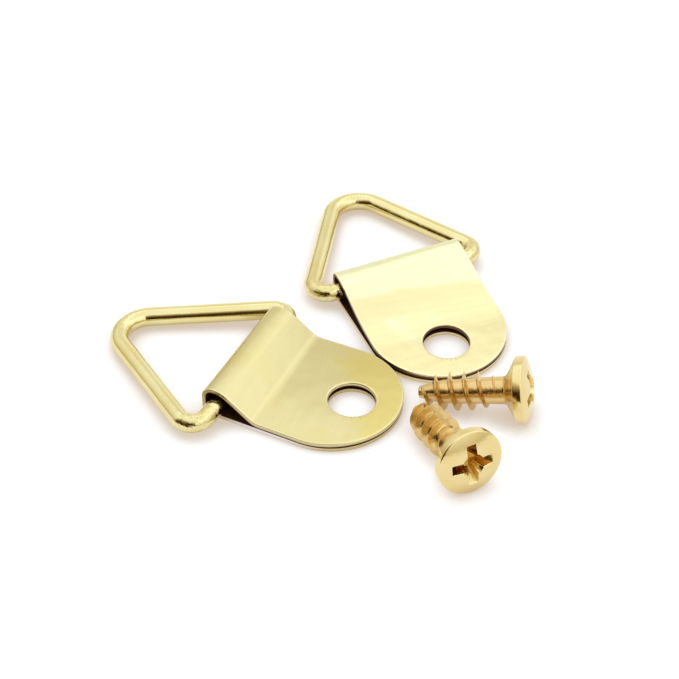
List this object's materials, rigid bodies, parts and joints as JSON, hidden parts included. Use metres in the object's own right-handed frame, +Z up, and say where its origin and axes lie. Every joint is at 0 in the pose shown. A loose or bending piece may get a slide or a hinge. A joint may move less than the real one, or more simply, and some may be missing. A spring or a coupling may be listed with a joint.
{
  "type": "triangle picture hanger",
  "caption": "Folded sheet straps with a round end and a screw hole, each holding a swinging triangle of wire, with their raised countersunk cross-recess screws.",
  "frame": {"origin": "centre of the set's bounding box, on the surface that it lies on", "axes": "+Z up from the surface, +Y away from the picture's viewer and the set's longest extent, +X to the viewer's right"},
  "size_m": [0.0446, 0.0484, 0.0071],
  "materials": {
    "strap_brass": "satin brass plating, finely brushed",
    "ring_brass": "bright brass plating on drawn wire",
    "screw_brass": "bright yellow brass plating"
  },
  "bodies": {
    "left_strap": {"left_strap": "strap_brass"},
    "left_ring": {"left_ring": "ring_brass"},
    "right_strap": {"right_strap": "strap_brass"},
    "right_ring": {"right_ring": "ring_brass"},
    "front_screw": {"front_screw": "screw_brass"},
    "rear_screw": {"rear_screw": "screw_brass"}
  },
  "joints": [
    {"name": "left_ring_swing", "type": "hinge", "parent": "left_strap", "child": "left_ring", "pos_m": [-0.0074, -0.00671, 0.0017], "axis": [0.4676, 0.8839, 0], "range_deg": [0, 160]},
    {"name": "right_ring_swing", "type": "hinge", "parent": "right_strap", "child": "right_ring", "pos_m": [0.00878, 0.00883, 0.0017], "axis": [0.9267, 0.3759, 0], "range_deg": [0, 145]},
    {"name": "right_hanger_lift", "type": "slide", "parent": "left_strap", "child": "right_strap", "axis": [0, 0, 1], "range_m": [0, 0.01]},
    {"name": "front_screw_lift", "type": "slide", "parent": "left_strap", "child": "front_screw", "axis": [0, 0, 1], "range_m": [0, 0.01]},
    {"name": "rear_screw_lift", "type": "slide", "parent": "left_strap", "child": "rear_screw", "axis": [0, 0, 1], "range_m": [0, 0.01]}
  ]
}
